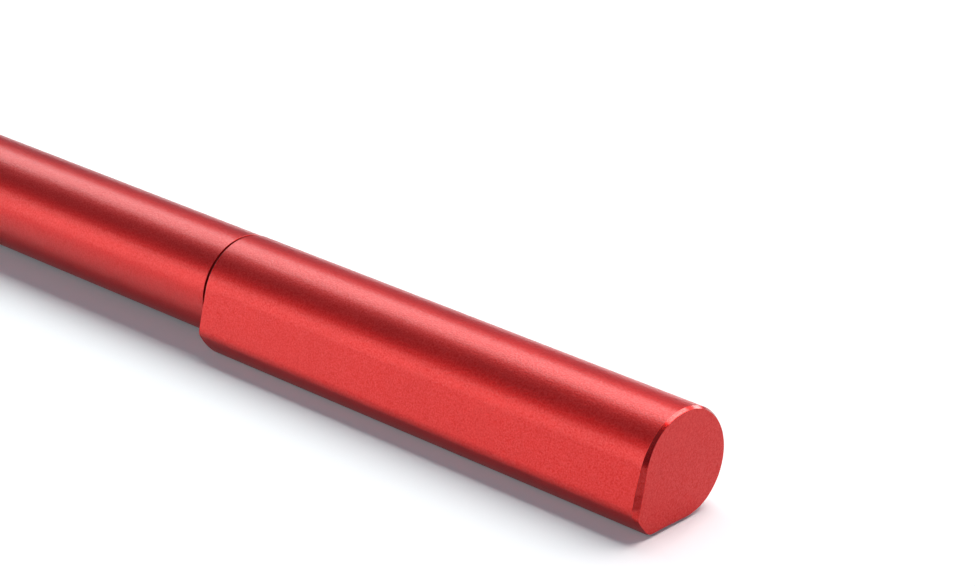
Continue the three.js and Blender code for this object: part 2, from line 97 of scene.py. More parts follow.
# How far edges are eased, from the finest ones to the rolled groove of the ink tube
FINE_EASE = 0.03 * MM
BUSH_EASE = 0.04 * MM
INSERT_EASE = 0.05 * MM
NECK_EASE = 0.06 * MM
TUBE_EASE = 0.1 * MM

# The barrel's bullet nose: its length, the radius of its front edge, and how full its curve is
NOSE_LENGTH = 26 * MM
NOSE_RIM_RADIUS = 1.57 * MM
NOSE_FULLNESS = 2.9

# The barrel's bores: their radii, and how far each reaches from the nose's front edge, or the insert's
# from the seam
NOSE_LIP = 0.1 * MM
NOSE_HOLE_RADIUS = 1.38 * MM
NOSE_HOLE_REACH = 2.4 * MM
NECK_BORE_RADIUS = 1.65 * MM
NECK_BORE_REACH = 4.2 * MM
SPRING_BORE_RADIUS = 2.3 * MM
SPRING_BORE_REACH = 11 * MM
REFILL_BORE_RADIUS = 3.05 * MM
BORE_TAPER = 0.8 * MM
INSERT_BORE_RADIUS = 4.1 * MM
INSERT_BORE_DEPTH = 11 * MM

# The cap's section: its apex and half angle, the blend into the flats, and where a flat leaves the round
APEX_RADIUS = 6.0 * MM
APEX_HALF_ANGLE = math.radians(36.7)
APEX_BLEND = 0.3 * MM
TANGENT_TURN = math.pi / 2 - APEX_HALF_ANGLE

# The cap's bores and end wall, and the width of the flat rings at its mouth and on its rear face
CAP_BORE_RADIUS = 4.1 * MM
CAP_BORE_DEPTH = 36.3 * MM
CAP_REAR_BORE_RADIUS = 3.2 * MM
CAP_END_WALL = 5.3 * MM
CAP_MOUTH_RING = 0.45 * MM
CAP_REAR_RING = 1 * MM

# The rear chamfer's share of its full size, by the turn from the apex, and on the apex itself
CHAMFER_TURNS = (0.5, TANGENT_TURN, TANGENT_TURN + 0.6)
CHAMFER_SHARES = (1, 0.8, 0.55)
APEX_CHAMFER_SHARE = 0.08

# How far the threads stay from the front ends, the insert's from its rear, and the spigot's from the collar
THREAD_FROM_FRONT = 0.4 * MM
THREAD_FROM_REAR = 0.2 * MM
THREAD_FROM_COLLAR = 0.9 * MM

# The twist unit: the insert's thread, the bush's radii, its collar and groove, and the seam washer's hole
INSERT_THREAD_RADIUS = 3.65 * MM
SPIGOT_RADIUS = 3.55 * MM
SPIGOT_LEAD = 0.3 * MM
COLLAR_RADIUS = 4.0 * MM
COLLAR_LENGTH = 2 * MM
SLEEVE_RADIUS = 3.7 * MM
BUSH_BORE_RADIUS = 3.05 * MM
SOCKET_RADIUS = 3.39 * MM
GROOVE_FROM_COLLAR = 0.55 * MM
GROOVE_WIDTH = 0.9 * MM
GROOVE_DEPTH = 0.4 * MM
WASHER_HOLE_RADIUS = 3.66 * MM

# The refill's tip: the ball's socket, the lip, the cone, the stem that the neck holds, and the ink's hole
BALL_CUP_RADIUS = 0.52 * MM
MOUTH_FROM_FRONT = 0.35 * MM
LIP_FROM_FRONT = 0.47 * MM
LIP_RADIUS = 0.56 * MM
CONE_FROM_FRONT = 0.55 * MM
CONE_FRONT_RADIUS = 0.58 * MM
CONE_REAR_FROM_FRONT = 2.45 * MM
CONE_STEP = 0.06 * MM
STEM_RADIUS = 0.83 * MM
INK_HOLE_RADIUS = 0.15 * MM

# The refill's neck and ink tube
NECK_HOLE_RADIUS = 0.875 * MM
NECK_RADIUS = 1.5 * MM
NECK_LENGTH = 8.8 * MM
SHOULDER_RADIUS = 2.14 * MM
SHOULDER_LENGTH = 1.4 * MM
STUB_RADIUS = 2.575 * MM
TUBE_WALL = 0.3 * MM
ROLLED_GROOVE_FROM_END = 2.2 * MM
ROLLED_GROOVE_WIDTH = 0.4 * MM
ROLLED_GROOVE_DEPTH = 0.14 * MM

# The return spring's wire: its radius, how far its middle stays inside the coil's outer radius, and the
# pitch of the closed turns in wire radii
WIRE_RADIUS = 0.21 * MM
WIRE_INSET = 0.22 * MM
CLOSED_PITCH = 2.1

# The blasted finish: the grain's scale and depth, the metal's roughness, and the clear skin over it
GRAIN_SCALE = 7000
GRAIN_DEPTH = 0.02 * MM
BLASTED_ROUGHNESS = (0.41, 0.45)
SKIN_ROUGHNESS = 0.26
SKIN_WEIGHT = (0.6, 1.0)
SKIN_IOR = 1.56

# The same on the rear chamfer, which is cut smoother: roughness of metal and skin, and the grain's strength
CUT_ROUGHNESS = 0.27
CUT_SKIN_ROUGHNESS = 0.17
CUT_GRAIN = 0.05

# The rear chamfer's faces: how far they turn towards the rear end, give or take, and how far in they reach
CHAMFER_TILT = 0.57
CHAMFER_TILT_RANGE = 0.3
CHAMFER_REACH = 1 * MM

# Noise lies mostly between these, so ramps and ranges are spread over them
NOISE_LOW = 0.3
NOISE_HIGH = 0.7

# The floor: half its width in metres, its glow by the pen, and the distances over which the glow grows
# to white
FLOOR_HALF_WIDTH = 3.0
NEAR_GLOW = (0.012, 0.074, 0.085)
GLOW_REACH = (0.1, 0.55)

# The share of the floor's colour that all rays but the camera's meet
FLOOR_DIMMED = 0.65

# The shares of the floor's glow and of the white backdrop that show in gloss
GLOW_IN_GLOSS = 0.2
BACKDROP_IN_GLOSS = 0.05

# The studio's colour at its low and high part, and the heights between which it changes
STUDIO_LOW = (0.04, 0.04, 0.074)
STUDIO_HIGH = (0.095, 0.095, 0.137)
STUDIO_HEIGHTS = (0.1, 0.9)

# The lamps: name, setting of its power, width and height, place, aim and colour, in metres
LAMP_AIM = (0.03, 0, 0.004)
LAMPS = (
    ("lamp_over", "over_power", (0.8, 0.28), (-0.3, 0.17, 0.38), (-0.3, 0, 0), (0.54, 1, 1)),
    ("lamp_front", "side_power", (0.5, 0.26), (-0.34, -0.42, 0.12), LAMP_AIM, (1, 0.97, 0.92)),
    ("lamp_key", "key_power", (0.46, 0.5), (0.14, 0.3, 0.56), LAMP_AIM, (1, 0.93, 0.92)),
    ("lamp_fill", "fill_power", (0.5, 0.25), (0, -0.5, 0.36), LAMP_AIM, (1, 1, 1)),
    ("lamp_end", "end_power", (0.4, 0.2), (0.5, 0.42, 0.13), (CAP_REAR_X, 0, 0), (1, 1, 1)),
    ("lamp_rim", "rim_power", (0.3, 0.12), (0.0, 0.46, 0.17), (CAP_REAR_X, 0, 0), (1, 1, 1)),
)

# The camera, fitted to the photograph: angles, distance and aim in metres from the cap's rear end, and lens
CAMERA_AZIMUTH = math.radians(44.873)
CAMERA_ELEVATION = math.radians(24.366)
CAMERA_ROLL = math.radians(-1.541)
CAMERA_DISTANCE = 0.27381
CAMERA_LENS = 127.32
CAMERA_SENSOR = 36
CAMERA_AIM_FROM_REAR = (-0.022198, 0.00156, 0.011872)


class PenSizes(bpy.types.PropertyGroup):
    """Sizes of the details that only the fine surfaces have"""

    end_chamfer_length: FloatProperty(
        name="End chamfer length", description="Length of the cap's rear chamfer along the pen",
        default=0.52 * MM, unit="LENGTH")
    end_chamfer_depth: FloatProperty(
        name="End chamfer depth", description="How far the rear chamfer cuts into the cap",
        default=0.33 * MM, unit="LENGTH")
    edge_break: FloatProperty(
        name="Edge break", description="Size of the small chamfer on the edges at the seam",
        default=0.015 * MM, unit="LENGTH")
    thread_pitch: FloatProperty(
        name="Thread pitch", description="Distance between the turns of the barrel's thread",
        default=0.75 * MM, unit="LENGTH")
    thread_depth: FloatProperty(
        name="Thread depth", description="Depth of the thread's groove",
        default=0.26 * MM, unit="LENGTH")
    spring_turns: IntProperty(
        name="Spring turns", description="Open turns of the return spring, without its closed ends",
        default=6, min=2)


class PenColours(bpy.types.PropertyGroup):
    """Colours of the pen's finishes"""

    anodised: FloatVectorProperty(
        name="Anodised metal", description="Dyed oxide of the barrel and cap",
        subtype="COLOR", size=3, min=0, max=1, default=(0.8, 0.015, 0.012))
    brass: FloatVectorProperty(
        name="Brass", description="Turned brass of the twist unit",
        subtype="COLOR", size=3, min=0, max=1, default=(0.72, 0.5, 0.2))
    steel: FloatVectorProperty(
        name="Steel", description="Refill tube, spring and small steel pieces",
        subtype="COLOR", size=3, min=0, max=1, default=(0.56, 0.57, 0.58))


class StageSettings(bpy.types.PropertyGroup):
    """The floor and the lamps"""

    floor_colour: FloatVectorProperty(
        name="Floor", description="Colour of the surface that the pen lies on",
        subtype="COLOR", size=3, min=0, max=1, default=(0.915, 0.795, 0.79))
    key_power: FloatProperty(
        name="Key power", description="Power of the high lamp behind the pen",
        default=4.1, unit="POWER")
    over_power: FloatProperty(
        name="Overhead power", description="Power of the long lamp over the pen",
        default=1.85, unit="POWER")
    side_power: FloatProperty(
        name="Side power", description="Power of the low lamp in front of the flat",
        default=0.6, unit="POWER")
    fill_power: FloatProperty(
        name="Fill power", description="Power of the weak lamp in front",
        default=0.4, unit="POWER")
    end_power: FloatProperty(
        name="End power", description="Power of the low lamp that the end face looks towards",
        default=0.34, unit="POWER")
    rim_power: FloatProperty(
        name="Rim power", description="Power of the low lamp behind, for the rear chamfer",
        default=0.6, unit="POWER")


# Surfaces


def eased(corners, setback, steps=EASE_STEPS):
    """Rounds an outline's corners.

    Each corner P becomes a parabola from P + a f to P + b f with its control point at P, where a and b are
    the directions to its neighbours and f is the setback, with one more point on each side, at 1.6 f, that
    holds the straight stretch flat. The first and last corners stay sharp.
    """
    corners = np.asarray(corners, float)
    setback = np.broadcast_to(np.asarray(setback, float), len(corners))[1:-1, None]
    before, here, after = corners[:-2], corners[1:-1], corners[2:]
    length_before = np.linalg.norm(before - here, axis=1, keepdims=True)
    length_after = np.linalg.norm(after - here, axis=1, keepdims=True)
    reach = np.minimum(setback, 0.3 * np.minimum(length_before, length_after))
    back = (before - here) / length_before * reach
    on = (after - here) / length_after * reach
    t = np.linspace(0, 1, steps)[None, :, None]
    curve = here[:, None] + (1 - t) ** 2 * back[:, None] + t ** 2 * on[:, None]
    held = np.concatenate([(here + 1.6 * back)[:, None], curve, (here + 1.6 * on)[:, None]], axis=1)
    return np.concatenate([corners[:1], held.reshape(-1, 2), corners[-1:]])


def grid_faces(rows, columns, wrap_rows):
    """Quads of a grid whose columns wrap round, and whose rows wrap too if asked."""
    last = rows if wrap_rows else rows - 1
    i, j = np.meshgrid(np.arange(last), np.arange(columns), indexing="ij")
    i, j = i.ravel(), j.ravel()
    below, across = (i + 1) % rows, (j + 1) % columns
    corners = [i * columns + j, i * columns + across, below * columns + across, below * columns + j]
    return np.stack(corners, axis=1)


def volume_of(points, faces):
    """Signed volume: the sum of the tetrahedra from the middle to each face's two triangles, over six."""
    p = points - points.mean(axis=0)
    a, b, c, d = (p[faces[:, k]] for k in range(4))
    one = np.einsum("ij,ij->i", a, np.cross(b, c)).sum()
    return (one + np.einsum("ij,ij->i", a, np.cross(c, d)).sum()) / 6


def add_piece(name, points, faces, body, material, node, sharp=SHARP_TURNED):
    """Puts arrays into a mesh, turns its faces outwards, merges its poles and seats it in the frame."""
    if volume_of(points, faces) < 0:
        faces = faces[:, ::-1]
    mesh = bpy.data.meshes.new(name)
    mesh.vertices.add(len(points))
    mesh.vertices.foreach_set("co", points.ravel())
    mesh.loops.add(faces.size)
    mesh.loops.foreach_set("vertex_index", faces.ravel())
    mesh.polygons.add(len(faces))
    mesh.polygons.foreach_set("loop_start", np.arange(0, faces.size, 4))
    mesh.polygons.foreach_set("loop_total", np.full(len(faces), 4))
    mesh.update(calc_edges=True)
    merge_close(mesh)
    mesh.validate()
    mesh.polygons.foreach_set("use_smooth", np.ones(len(mesh.polygons), bool))
    mesh.set_sharp_from_angle(angle=sharp)
    mesh.materials.append(material)
    piece = bpy.data.objects.new(name, mesh)
    bpy.context.scene.collection.objects.link(piece)
    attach(piece, body)
    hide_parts(node)


def merge_close(mesh):
    """Merges a pole's coincident points and drops the faces that vanish with them."""
    work = bmesh.new()
    work.from_mesh(mesh)
    bmesh.ops.remove_doubles(work, verts=work.verts, dist=1e-8)
    bmesh.ops.dissolve_degenerate(work, edges=work.edges, dist=1e-9)
    work.to_mesh(mesh)
    work.free()


def around(xs, radii, turns):
    """Grid of points: row i stands at x = xs[i], and its column j at radius radii[i, j] and turn turns[j].

    The places xs may also be a grid, with one place for each turn.
    """
    xs = np.asarray(xs)
    radii = np.broadcast_to(radii, (len(xs), len(turns)))
    y = AXIS_Y + radii * np.cos(turns)
    z = AXIS_Z + radii * np.sin(turns)
    x = np.broadcast_to(xs[:, None] if xs.ndim == 1 else xs, radii.shape)
    return np.stack([x, y, z], axis=2)


def turned(name, outline, body, material, node, steps=ROUND_STEPS):
    """A turned piece: a half section of [x, radius] carried round the pen's axis.

    The section closes on itself, unless both its ends lie on the axis.
    """
    outline = np.asarray(outline)
    turns = np.linspace(0, 2 * np.pi, steps, endpoint=False)
    points = around(outline[:, 0], outline[:, 1:2], turns)
    closed = bool(outline[0, 1] > 0 or outline[-1, 1] > 0)
    faces = grid_faces(len(outline), steps, closed)
    add_piece(name, points.reshape(-1, 3), faces, body, material, node)


def half_section(corners, setback):
    """A closed half section that starts on the middle of its first side, so that every corner is eased."""
    corners = np.asarray(corners, float)
    start = (corners[0] + corners[1]) / 2
    ring = np.concatenate([[start], corners[1:], corners[:1], [start]])
    return eased(ring, setback)[:-1]


def skin_between(name, rings, body, material, node, wrap, sharp):
    """A closed skin over rows of points, each row a closed ring, with a pole where a row has shrunk."""
    rows, columns = rings.shape[:2]
    faces = grid_faces(rows, columns, wrap)
    add_piece(name, rings.reshape(-1, 3), faces, body, material, node, sharp)


def nose_radius(s):
    """Radius of the bullet nose at s from its front edge.

    It is rim + (full - rim) (1 - (1 - s / length) ** fullness).
    """
    left = 1 - np.clip(s / NOSE_LENGTH, 0, 1)
    return NOSE_RIM_RADIUS + (BARREL_RADIUS - NOSE_RIM_RADIUS) * (1 - left ** NOSE_FULLNESS)


def make_front_barrel(sizes, metal):
    """The barrel: the nose's curve outside, the stepped bore inside, and eased edges at both mouths.

    The steps along the nose lie closer together towards its front edge.
    """
    s = NOSE_LENGTH * np.linspace(0, 1, NOSE_STEPS)[1:] ** 1.3
    nose = np.stack([NOSE_X + s, nose_radius(s)], axis=1)
    edge = sizes.edge_break
    insert_end = SEAM_X - INSERT_BORE_DEPTH
    spring_end = NOSE_X + SPRING_BORE_REACH
    neck_end = NOSE_X + NECK_BORE_REACH
    hole_end = NOSE_X + NOSE_HOLE_REACH
    rear = eased([
        (SEAM_X - 4 * MM, BARREL_RADIUS), (SEAM_X - edge, BARREL_RADIUS), (SEAM_X, BARREL_RADIUS - edge),
        (SEAM_X, INSERT_BORE_RADIUS), (insert_end, INSERT_BORE_RADIUS), (insert_end, REFILL_BORE_RADIUS),
        (spring_end + BORE_TAPER, REFILL_BORE_RADIUS), (spring_end, SPRING_BORE_RADIUS),
        (neck_end, SPRING_BORE_RADIUS), (neck_end, NECK_BORE_RADIUS),
        (hole_end, NECK_BORE_RADIUS), (hole_end, NOSE_HOLE_RADIUS),
        (NOSE_X + NOSE_LIP, NOSE_HOLE_RADIUS), (NOSE_X, NOSE_RIM_RADIUS - NOSE_LIP),
        (NOSE_X, NOSE_RIM_RADIUS), tuple(nose[0]),
    ], FINE_EASE)
    outline = np.concatenate([nose, rear[:-1]])
    turned("barrel_shell", outline, "barrel", metal, "front_barrel")


def cap_skin(turns, round_radius, apex_radius):
    """Distance from the axis to the cap's skin, by the turn from the apex's middle line.

    The round keeps its radius r. Each flat is tangent to it, so it lies at r / cos(turn from the tangent
    point). The blunt apex is an arc about the same axis, and the two meet by a smooth minimum.
    """
    from_apex = np.abs(turns)
    flat = round_radius / np.cos(np.clip(TANGENT_TURN - from_apex, 0, None))
    nearness = np.clip(1 - np.abs(flat - apex_radius) / APEX_BLEND, 0, 1)
    return np.minimum(flat, apex_radius) - nearness ** 2 * APEX_BLEND / 4


def cap_outside(sizes, turns):
    """The cap's outer skin as a grid of places and one of radii: a row for each step of its outline.

    The outline holds [x, inset from the section]. Its rear chamfer shrinks with the turn from the apex.
    """
    edge = sizes.edge_break
    outline = eased([
        (CAP_FRONT_X, CAP_MOUTH_RING), (CAP_FRONT_X, edge), (CAP_FRONT_X + edge, 0),
        (CAP_REAR_X - sizes.end_chamfer_length, 0), (CAP_REAR_X, sizes.end_chamfer_depth),
        (CAP_REAR_X, CAP_REAR_RING),
    ], [0, FINE_EASE / 2, 0.02 * MM, FINE_EASE, FINE_EASE, 0])
    xs, insets = outline[:, 0:1], outline[:, 1:2]
    at_rear = xs > (CAP_FRONT_X + CAP_REAR_X) / 2
    share = np.interp(np.abs(turns), CHAMFER_TURNS, CHAMFER_SHARES)[None, :]
    inset = np.where(at_rear, insets * share, insets)
    apex_inset = np.where(at_rear, insets * APEX_CHAMFER_SHARE, insets)
    radii = cap_skin(turns[None, :], CAP_RADIUS - inset, APEX_RADIUS - apex_inset)
    return np.where(at_rear, CAP_REAR_X - (CAP_REAR_X - xs) * share, xs), radii


def make_cap(sizes, metal):
    """The cap: its section carried from the seam to the rear, closed behind, and bored from the front."""
    turns = np.linspace(-np.pi, np.pi, CAP_ROUND_STEPS, endpoint=False)
    outside_x, outside_radii = cap_outside(sizes, turns)
    end_radii = outside_radii[-1:] * np.array([[0.5], [0.0]])
    bore_end = CAP_FRONT_X + CAP_BORE_DEPTH
    inside = eased([
        (CAP_REAR_X - CAP_END_WALL, 0), (CAP_REAR_X - CAP_END_WALL, CAP_REAR_BORE_RADIUS),
        (bore_end, CAP_REAR_BORE_RADIUS), (bore_end, CAP_BORE_RADIUS),
        (CAP_FRONT_X, CAP_BORE_RADIUS), (CAP_FRONT_X, CAP_BORE_RADIUS + 0.1 * MM),
    ], FINE_EASE)
    inside_x, bore = (np.repeat(inside[:, k:k + 1], CAP_ROUND_STEPS, axis=1) for k in (0, 1))
    xs = np.concatenate([outside_x, np.full_like(end_radii, CAP_REAR_X), inside_x])
    radii = np.concatenate([outside_radii, end_radii, bore])
    rings = around(xs, radii, np.pi + APEX_HALF_ANGLE + turns)
    outer_rows = len(outside_x) + len(end_radii)
    points, faces = join_skins(rings[:outer_rows], rings[outer_rows:])
    add_piece("cap_shell", points, faces, "cap", metal, "cap_body")


def join_skins(outer, inner):
    """One closed skin from an outer and an inner one: the inner's last row meets the outer's first."""
    rows, columns = outer.shape[:2]
    points = np.concatenate([outer, inner]).reshape(-1, 3)
    outer_faces = grid_faces(rows, columns, False)
    inner_faces = grid_faces(len(inner), columns, False) + rows * columns
    j = np.arange(columns)
    k = (j + 1) % columns
    end = (rows + len(inner) - 1) * columns
    mouth = np.stack([end + j, end + k, k, j], axis=1)
    return points, np.concatenate([outer_faces, inner_faces, mouth])


def thread_wave(x, turns, pitch):
    """Height of a thread's ridge, 0 to 1: a triangle wave of x / pitch - turn / (2 pi).

    The wave is stretched to 1.6 of its height and lowered by 0.3, so that crests and roots are cut flat.
    """
    phase = np.mod(x[:, None] / pitch - turns[None, :] / (2 * np.pi), 1)
    return np.clip(1.6 * (1 - np.abs(2 * phase - 1)) - 0.3, 0, 1)


def threaded_skin(name, outline, crest, start, end, depth, pitch, body, material, node):
    """A turned piece with a thread on its longest straight stretch at the crest's radius.

    Between start and end the radius drops by depth (1 - wave). A negative depth cuts the groove outwards,
    as in a nut. The thread fades in over half a pitch.
    """
    rows = int((end - start) / pitch * PITCH_STEPS)
    thread_x = np.linspace(start, end, rows)
    outline = np.asarray(outline)
    at_crest = np.abs(outline[:, 1] - crest) < 1e-9
    host = int(np.argmax(np.abs(np.diff(outline[:, 0])) * at_crest[:-1] * at_crest[1:]))
    towards = thread_x if outline[host + 1, 0] > outline[host, 0] else thread_x[::-1]
    xs = np.concatenate([outline[:host + 1, 0], towards, outline[host + 1:, 0]])
    base = np.concatenate([outline[:host + 1, 1], np.full(rows, crest), outline[host + 1:, 1]])
    turns = np.linspace(0, 2 * np.pi, THREAD_ROUND_STEPS, endpoint=False)
    fade = np.clip(np.minimum(xs - start, end - xs) / (pitch / 2), 0, 1)
    fade[:host + 1] = 0
    fade[host + 1 + rows:] = 0
    radii = base[:, None] - depth * fade[:, None] * (1 - thread_wave(xs, turns, pitch))
    rings = around(xs, radii, turns)
    skin_between(name, rings, body, material, node, True, SHARP_THREAD)


def make_thread_insert(sizes, brass):
    """The barrel's brass insert, with its thread cut into the bore."""
    low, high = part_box("thread_insert")
    front, rear, outer = low[0], high[0], (high[2] - low[2]) / 2
    inner = INSERT_THREAD_RADIUS
    outline = half_section([(front, outer), (rear, outer), (rear, inner), (front, inner)], INSERT_EASE)
    start, end = front + THREAD_FROM_FRONT, rear - THREAD_FROM_REAR
    threaded_skin("thread_insert_turned", outline, inner, start, end, -sizes.thread_depth,
                  sizes.thread_pitch, "barrel", brass, "thread_insert")


def make_coupling_bush(sizes, brass):
    """The fixed brass bush: threaded spigot, grooved collar and rear sleeve."""
    low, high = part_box("coupling_bush")
    front, rear = low[0], high[0]
    collar_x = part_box("seam_washer")[1][0]
    collar_end = collar_x + COLLAR_LENGTH
    socket_end = collar_end + 0.04 * MM
    groove = collar_x + GROOVE_FROM_COLLAR
    groove_end = groove + GROOVE_WIDTH
    groove_radius = COLLAR_RADIUS - GROOVE_DEPTH
    outline = half_section([
        (front, BUSH_BORE_RADIUS), (front, SPIGOT_RADIUS - 0.2 * MM), (front + SPIGOT_LEAD, SPIGOT_RADIUS),
        (collar_x, SPIGOT_RADIUS), (collar_x, COLLAR_RADIUS), (groove, COLLAR_RADIUS),
        (groove, groove_radius), (groove_end, groove_radius), (groove_end, COLLAR_RADIUS),
        (collar_end, COLLAR_RADIUS), (collar_end, SLEEVE_RADIUS), (rear, SLEEVE_RADIUS),
        (rear, SOCKET_RADIUS), (socket_end, SOCKET_RADIUS), (socket_end, BUSH_BORE_RADIUS),
    ], BUSH_EASE)
    start, end = front + THREAD_FROM_FRONT, collar_x - THREAD_FROM_COLLAR
    threaded_skin("coupling_bush_turned", outline, SPIGOT_RADIUS, start, end, sizes.thread_depth,
                  sizes.thread_pitch, "core", brass, "coupling_bush")


def make_rubber_pieces(rubber):
    """The seam's thin washer, and the ring of round cord in the collar's groove."""
    low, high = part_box("seam_washer")
    outer, hole = (high[2] - low[2]) / 2, WASHER_HOLE_RADIUS
    outline = half_section([(low[0], outer), (high[0], outer), (high[0], hole), (low[0], hole)], FINE_EASE)
    turned("seam_washer_soft", outline, "core", rubber, "seam_washer")
    low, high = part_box("friction_ring")
    cord = (high[0] - low[0]) / 2
    middle = (low[0] + high[0]) / 2
    centre = (high[2] - low[2]) / 2 - cord
    turn = np.linspace(0, 2 * np.pi, CORD_ROUND_STEPS, endpoint=False)
    circle = np.stack([middle + cord * np.cos(turn), centre + cord * np.sin(turn)], axis=1)
    turned("friction_ring_cord", circle, "core", rubber, "friction_ring")


def make_tip(chrome, ball_metal):
    """The refill's tip and its ball: a half circle, and a stepped cone that ends in a cup round the ball."""
    tip_low, tip_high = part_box("refill_tip")
    ball_low, ball_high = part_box("tip_ball")
    neck_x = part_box("refill_neck")[0][0] - 0.04 * MM
    front, stem_end = ball_low[0], tip_high[0]
    ball_radius = (ball_high[0] - ball_low[0]) / 2
    tip_radius = (tip_high[2] - tip_low[2]) / 2
    centre = front + ball_radius
    mouth = front + MOUTH_FROM_FRONT
    cone_rear = front + CONE_REAR_FROM_FRONT
    cup_radius = BALL_CUP_RADIUS
    cup_turn = np.linspace(math.acos((mouth - centre) / cup_radius), 0.3, CUP_STEPS)
    cup = np.stack([centre + cup_radius * np.cos(cup_turn), cup_radius * np.sin(cup_turn)], axis=1)
    body = eased([
        tuple(cup[-1]), (stem_end, INK_HOLE_RADIUS), (stem_end, STEM_RADIUS), (neck_x, STEM_RADIUS),
        (neck_x, tip_radius), (cone_rear, tip_radius), (cone_rear, tip_radius - CONE_STEP),
        (front + CONE_FROM_FRONT, CONE_FRONT_RADIUS), (front + LIP_FROM_FRONT, LIP_RADIUS),
        (mouth, cup_radius), tuple(cup[0]),
    ], FINE_EASE)
    outline = np.concatenate([cup, body[1:-1]])
    turned("tip_cone", outline, "refill", chrome, "refill_tip", REFILL_ROUND_STEPS)
    turn = np.linspace(0, np.pi, BALL_STEPS)
    ball = np.stack([centre - ball_radius * np.cos(turn), ball_radius * np.sin(turn)], axis=1)
    ball[[0, -1], 1] = 0
    turned("writing_ball", ball, "ball", ball_metal, "tip_ball", SMALL_ROUND_STEPS)


def make_ink_tube(steel):
    """The refill's neck, with its shoulder and the stub in the tube, and the tube with its rolled groove."""
    neck_low, neck_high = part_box("refill_neck")
    tube_low, tube_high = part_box("refill_tube")
    neck_front, stub_end = neck_low[0], neck_high[0]
    tube_front, tube_rear = tube_low[0], tube_high[0]
    tube_radius = (tube_high[2] - tube_low[2]) / 2
    shoulder = neck_front + NECK_LENGTH
    neck = half_section([
        (neck_front, NECK_HOLE_RADIUS), (neck_front, NECK_RADIUS), (shoulder, NECK_RADIUS),
        (shoulder, SHOULDER_RADIUS), (shoulder + SHOULDER_LENGTH, tube_radius), (tube_front, tube_radius),
        (tube_front, STUB_RADIUS), (stub_end, STUB_RADIUS), (stub_end, NECK_HOLE_RADIUS),
    ], NECK_EASE)
    turned("refill_neck_turned", neck, "refill", steel, "refill_neck", REFILL_ROUND_STEPS)
    rolled = tube_front + ROLLED_GROOVE_FROM_END
    tube = half_section([
        (tube_front, tube_radius - TUBE_WALL), (tube_front, tube_radius),
        (rolled - ROLLED_GROOVE_WIDTH, tube_radius), (rolled, tube_radius - ROLLED_GROOVE_DEPTH),
        (rolled + ROLLED_GROOVE_WIDTH, tube_radius), (tube_rear, tube_radius),
        (tube_rear, tube_radius - TUBE_WALL),
    ], TUBE_EASE)
    turned("ink_tube", tube, "refill", steel, "refill_tube", REFILL_ROUND_STEPS)


def make_return_spring(sizes, steel):
    """The return spring: a round wire along a helix whose pitch closes up over the last turn at each end.

    The wire's middle is at x(turn), radius R, and its section is a circle spanned by the outward direction
    and the one square to it and to the helix.
    """
    low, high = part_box("return_spring")
    wire = WIRE_RADIUS
    radius = (high[2] - low[2]) / 2 - WIRE_INSET
    last = sizes.spring_turns + 2
    turns = np.linspace(0, last, last * SPRING_TURN_STEPS)
    length = high[0] - low[0] - 2 * wire
    closed = CLOSED_PITCH * wire
    knots = [0, 1, last - 1, last]
    x = low[0] + wire + np.interp(turns, knots, [0, closed, length - closed, length])
    angle = 2 * np.pi * turns
    centre = np.stack([x, AXIS_Y + radius * np.cos(angle), AXIS_Z + radius * np.sin(angle)], axis=1)
    outward = np.stack([0 * angle, np.cos(angle), np.sin(angle)], axis=1)
    along = np.gradient(centre, axis=0)
    along /= np.linalg.norm(along, axis=1, keepdims=True)
    side = np.cross(along, outward)
    turn = np.linspace(0, 2 * np.pi, WIRE_ROUND_STEPS, endpoint=False)[None, :, None]
    circles = wire * (np.cos(turn) * outward[:, None] + np.sin(turn) * side[:, None])
    rings = centre[:, None] + circles
    poles = [centre[k, None, None] + 0 * circles[:1] for k in (0, -1)]
    rings = np.concatenate([poles[0], rings, poles[1]])
    skin_between("return_spring_wire", rings, "refill", steel, "return_spring",
                 False, SHARP_WIRE)


# Finishes


def new_finish(name, colour, metallic, roughness):
    """A material with one Principled shader, and its nodes, links and shader."""
    finish = bpy.data.materials.new(name)
    finish.use_nodes = True
    nodes, links = finish.node_tree.nodes, finish.node_tree.links
    shader = nodes["Principled BSDF"]
    shader.inputs["Base Color"].default_value = (*colour, 1)
    shader.inputs["Metallic"].default_value = metallic
    shader.inputs["Roughness"].default_value = roughness
    return finish, nodes, links, shader


def noise_of(nodes, links, scale, detail=2.0, stretch=(1, 1, 1)):
    """Noise in the piece's own metres, stretched by a Mapping node."""
    place = nodes.new("ShaderNodeTexCoord")
    mapping = nodes.new("ShaderNodeMapping")
    mapping.inputs["Scale"].default_value = stretch
    noise = nodes.new("ShaderNodeTexNoise")
    noise.inputs["Scale"].default_value = scale
    noise.inputs["Detail"].default_value = detail
    links.new(place.outputs["Object"], mapping.inputs["Vector"])
    links.new(mapping.outputs["Vector"], noise.inputs["Vector"])
    return noise


def colour_between(nodes, links, factor, dark, light, low=NOISE_LOW, high=NOISE_HIGH):
    """A ramp from one colour to another over part of a factor's range."""
    ramp = nodes.new("ShaderNodeValToRGB")
    ramp.color_ramp.elements[0].position = low
    ramp.color_ramp.elements[0].color = (*dark, 1)
    ramp.color_ramp.elements[1].position = high
    ramp.color_ramp.elements[1].color = (*light, 1)
    links.new(factor, ramp.inputs["Fac"])
    return ramp.outputs["Color"]


def bump_from(nodes, links, shader, height, strength, distance):
    """Feeds a height into the shader's normal, and gives the bump node."""
    bump = nodes.new("ShaderNodeBump")
    bump.inputs["Strength"].default_value = strength
    bump.inputs["Distance"].default_value = distance
    links.new(height, bump.inputs["Height"])
    links.new(bump.outputs["Normal"], shader.inputs["Normal"])
    return bump


